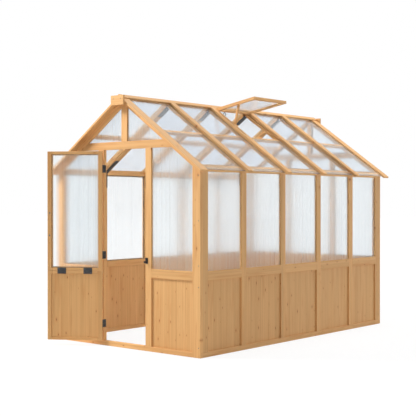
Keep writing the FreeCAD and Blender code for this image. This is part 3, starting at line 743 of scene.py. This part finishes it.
class Repeat(Nodes):
    """A geometry tree that sets one small shape on every point of a mesh."""

    def __init__(self, name, *size_names):
        super().__init__(bpy.data.node_groups.new(name, "GeometryNodeTree"))
        sockets = self.tree.interface
        sockets.new_socket("Geometry", in_out="INPUT", socket_type="NodeSocketGeometry")
        for size_name in size_names:
            sockets.new_socket(size_name, in_out="INPUT", socket_type="NodeSocketFloat")
        sockets.new_socket("Geometry", in_out="OUTPUT", socket_type="NodeSocketGeometry")
        self.given = self.node("NodeGroupInput").outputs

    def carried(self, name, kind):
        """A value that each point carries."""
        made = self.node("GeometryNodeInputNamedAttribute", data_type=kind)
        self.put(made.inputs["Name"], name)
        return made.outputs["Attribute"]

    def spread(self, shape, turn, scale, finish):
        """Sets the shape on every point, as plain mesh in one finish."""
        placed = self.node("GeometryNodeInstanceOnPoints")
        self.put(placed.inputs["Points"], self.given["Geometry"])
        self.put(placed.inputs["Instance"], shape)
        self.put(placed.inputs["Rotation"], turn)
        self.put(placed.inputs["Scale"], scale)
        whole = self.node("GeometryNodeRealizeInstances")
        self.put(whole.inputs["Geometry"], placed.outputs["Instances"])
        painted = self.node("GeometryNodeSetMaterial")
        self.put(painted.inputs["Geometry"], whole.outputs["Geometry"])
        self.put(painted.inputs["Material"], finish)
        self.put(self.node("NodeGroupOutput").inputs["Geometry"], painted.outputs["Geometry"])


def screw_tree(finish):
    """One cross-headed screw on each point, sunk by half and turned to the point's own direction."""
    screws = Repeat("screws", "Head radius", "Head rise")
    radius = screws.given["Head radius"]
    rise = screws.given["Head rise"]
    depth = screws.math("MULTIPLY", rise, 2.0)
    head = screws.node("GeometryNodeMeshCylinder")
    screws.put(head.inputs["Vertices"], SCREW_SIDES)
    screws.put(head.inputs["Radius"], radius)
    screws.put(head.inputs["Depth"], depth)
    cut = screws.node("GeometryNodeMeshBoolean", operation="DIFFERENCE", solver="EXACT")
    screws.put(cut.inputs["Mesh 1"], head.outputs["Mesh"])
    for wide, tall in ((SCREW_SLOT_LONG, SCREW_SLOT_WIDE), (SCREW_SLOT_WIDE, SCREW_SLOT_LONG)):
        width = screws.math("MULTIPLY", radius, wide)
        height = screws.math("MULTIPLY", radius, tall)
        slot = screws.node("GeometryNodeMeshCube")
        screws.put(slot.inputs["Size"], screws.vector(width, height, depth))
        lifted = screws.node("GeometryNodeTransform")
        screws.put(lifted.inputs["Geometry"], slot.outputs["Mesh"])
        screws.put(lifted.inputs["Translation"], screws.vector(0.0, 0.0, rise))
        screws.put(cut.inputs["Mesh 2"], lifted.outputs["Geometry"])
    turn = screws.node("FunctionNodeAlignRotationToVector", axis="Z")
    screws.put(turn.inputs["Vector"], screws.carried("facing", "FLOAT_VECTOR"))
    scale = screws.carried("size", "FLOAT")
    screws.spread(cut.outputs["Mesh"], turn.outputs["Rotation"], scale, finish)
    return screws.tree


def web_tree(finish):
    """One web on each point, as long as the point says, between a sheet's two skins."""
    webs = Repeat("flute_webs", "Web thickness", "Web depth")
    web = webs.node("GeometryNodeMeshCube")
    section = webs.vector(webs.given["Web depth"], webs.given["Web thickness"], 1.0)
    webs.put(web.inputs["Size"], section)
    turn = webs.node("FunctionNodeAxesToRotation", primary_axis="Z", secondary_axis="X")
    webs.put(turn.inputs["Primary Axis"], webs.carried("along", "FLOAT_VECTOR"))
    webs.put(turn.inputs["Secondary Axis"], webs.carried("through", "FLOAT_VECTOR"))
    scale = webs.vector(1.0, 1.0, webs.carried("run", "FLOAT"))
    webs.spread(web.outputs["Mesh"], turn.outputs["Rotation"], scale, finish)
    return webs.tree


def grown_mesh(name, tree, points, vectors, numbers, sizes):
    """Runs a tree on points that carry their own vectors and numbers, and gives the plain mesh."""
    seed = bpy.data.meshes.new(name + "_points")
    seed.from_pydata(points, [], [])
    for key, values in vectors.items():
        layer = seed.attributes.new(key, "FLOAT_VECTOR", "POINT")
        layer.data.foreach_set("vector", [part for value in values for part in value])
    for key, values in numbers.items():
        layer = seed.attributes.new(key, "FLOAT", "POINT")
        layer.data.foreach_set("value", values)
    grower = bpy.data.objects.new(name + "_grower", seed)
    bpy.context.scene.collection.objects.link(grower)
    modifier = grower.modifiers.new(name, "NODES")
    modifier.node_group = tree
    for item in tree.interface.items_tree:
        if item.in_out == "INPUT" and item.name in sizes:
            modifier[item.identifier] = sizes[item.name]
    bpy.context.view_layer.update()
    depsgraph = bpy.context.evaluated_depsgraph_get()
    mesh = bpy.data.meshes.new_from_object(grower.evaluated_get(depsgraph))
    mesh.name = name
    bpy.data.objects.remove(grower)
    bpy.data.meshes.remove(seed)
    return mesh


def screws_on(node, facing, shares, least, size):
    """Screw places on each broad face of a node that looks the given way."""
    places = []
    for solid in solids_of(node):
        work = merged(solid)
        for face in work.faces:
            centre = face.calc_center_bounds()
            if face.calc_area() < least or face.normal.dot(facing(centre)) < FACING_LEAN:
                continue
            along = long_edge_way(face.edges)
            side = face.normal.cross(along)
            run = [(point.co - centre).dot(along) for point in face.verts]
            span = [(point.co - centre).dot(side) for point in face.verts]
            for far, wide in shares:
                step = along * far * (max(run) - min(run)) + side * wide * (max(span) - min(span))
                places.append((centre + step, face.normal.copy(), size))
        work.free()
    return places


def small_screws(node, way, shares):
    """Small screws on the faces of a thin steel piece that look one way."""
    return screws_on(node, lambda _: way, shares, PLATE_LEAST, SMALL_SCREW)


def span_of(node, way):
    """A node's least and greatest place along a direction."""
    places = [point.co.dot(way) for point in frame["nodes"][node].data.vertices]
    return min(places), max(places)


def house_screws():
    """Screw heads by the corner arrises, on the front ridge block and on the house's steel."""
    places = []
    block_low, block_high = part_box("ridge_blocks")
    post_low, post_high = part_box("corner_stiles")
    post_x = post_high.x - CORNER_SCREW_INSET
    block_x = block_high.x - BLOCK_SCREW_INSET
    block_z = block_high.z - BLOCK_SCREW_DROP
    for side in (-1, 1):
        for height in CORNER_SCREW_ZS:
            for face, out in ((post_low.y, OUT_FRONT), (post_high.y, OUT_BACK)):
                places.append((Vector((side * post_x, face, height)), out, 1.0))
        places.append((Vector((side * block_x, block_low.y, block_z)), OUT_FRONT, 1.0))

    def inwards(centre):
        """The way from a strap's face to the middle of the house."""
        return (Vector((0, centre.y, STRAP_AIM_Z)) - centre).normalized()

    for node in ("eave_brackets", "ridge_brackets"):
        places += screws_on(node, inwards, ROW_OF_THREE, STRAP_LEAST, 1.0)
    places += small_screws("latch_plate", OUT_FRONT, FOUR_CORNERS)
    places += small_screws("jamb_hinge_leaves", RIGHT, ROW_OF_THREE)
    places += small_screws("ridge_hinge_leaves", UP, ROW_OF_THREE)
    return places


def door_screws():
    """Screw heads on the door's steel and the handle's bolt heads on its inner face."""
    # The hinge's upper limit shuts the door, so at rest the door stands open by that angle
    open_angle = joints["door_hinge"]["range_deg"][1]
    turn = Matrix.Rotation(-math.radians(open_angle), 3, "Z")
    leaf = turn @ RIGHT
    inner = turn @ OUT_BACK
    places = small_screws("door_joining_plates", inner, FOUR_CORNERS)
    places += small_screws("door_hinge_leaves", -leaf, ROW_OF_THREE)
    foot_start, foot_end = span_of("door_handle", leaf)
    foot_r = (foot_end - foot_start) / 2
    door_face = span_of("door_stiles", inner)[1]
    handle_low, handle_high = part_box("door_handle")
    for height in (handle_low.z + foot_r, handle_high.z - foot_r):
        place = leaf * (foot_start + foot_r) + inner * door_face + UP * height
        places.append((place, inner, BOLT_HEAD))
    return places


def vent_screws():
    """Screw heads on the vent's hinge leaves."""
    return small_screws("vent_hinge_leaves", UP, ROW_OF_THREE)


photo_camera()
wood = honey_softwood()
wall_sheet = twin_wall_sheet("milky_wall_sheet", WALL_SHEET, WALL_CLEARNESS, WALL_SWELL, WALL_MILK)
# The roof's copy of the sheet takes the grey tint, which is painted shade
roof_sheet = twin_wall_sheet("clear_roof_sheet", ROOF_PAINTED_SHADE_TINT, ROOF_CLEARNESS, ROOF_SWELL, ROOF_MILK)
coat = satin_black_coat()
zinc = plated_steel("zinc_plate", ZINC_BRIGHT, ZINC_DULL)
dark_zinc = plated_steel("dark_zinc_plate", SCREW_BRIGHT, SCREW_DULL)
web = flute_web()

# Every CAD node is replaced by a dressed copy of its solids
chance = random.Random(GRAIN_SEED)
webs = {}
for node in sorted(node_slot):
    slot = node_slot[node]
    body = node_body[node]
    if slot == "wood":
        mesh = plane_boards(node, chance)
        mesh.materials.append(wood)
    elif slot == "twin_wall_sheet":
        mesh = flute_sheets(node, webs.setdefault(body, []))
        mesh.materials.append(roof_sheet if "roof" in node or "vent" in node else wall_sheet)
    else:
        mesh = finish_steel(node)
        mesh.materials.append(coat if slot == "black_steel" else zinc)
    add_piece(mesh, body, slot, node)

# Webs and screws, one mesh for each body
tree = web_tree(web)
for body, rows in webs.items():
    places, alongs, throughs, runs = zip(*rows)
    mesh = grown_mesh(
        body + "_flute_webs",
        tree,
        places,
        {"along": alongs, "through": throughs},
        {"run": runs},
        {"Web thickness": WEB_T, "Web depth": SHEET_T - 2 * SKIN_T},
    )
    add_piece(mesh, body, "twin_wall_sheet")

tree = screw_tree(dark_zinc)
for body, rows in (("house", house_screws()), ("door", door_screws()), ("vent", vent_screws())):
    places, facings, scales = zip(*rows)
    mesh = grown_mesh(
        body + "_screws",
        tree,
        places,
        {"facing": facings},
        {"size": scales},
        {"Head radius": SCREW_R, "Head rise": SCREW_PROUD},
    )
    add_piece(mesh, body, "bare_steel")

pale_floor()
studio_world()
soft_lamp("key_lamp", KEY_SPOT, KEY_AIM, KEY_SIZE, KEY_POWER, KEY_TINT)
soft_lamp("roof_lamp", ROOF_SPOT, ROOF_AIM, ROOF_SIZE, ROOF_POWER, FILL_TINT)
soft_lamp("side_lamp", SIDE_SPOT, SIDE_AIM, SIDE_SIZE, SIDE_POWER, FILL_TINT)

bpy.context.scene.view_settings.view_transform = "Standard"
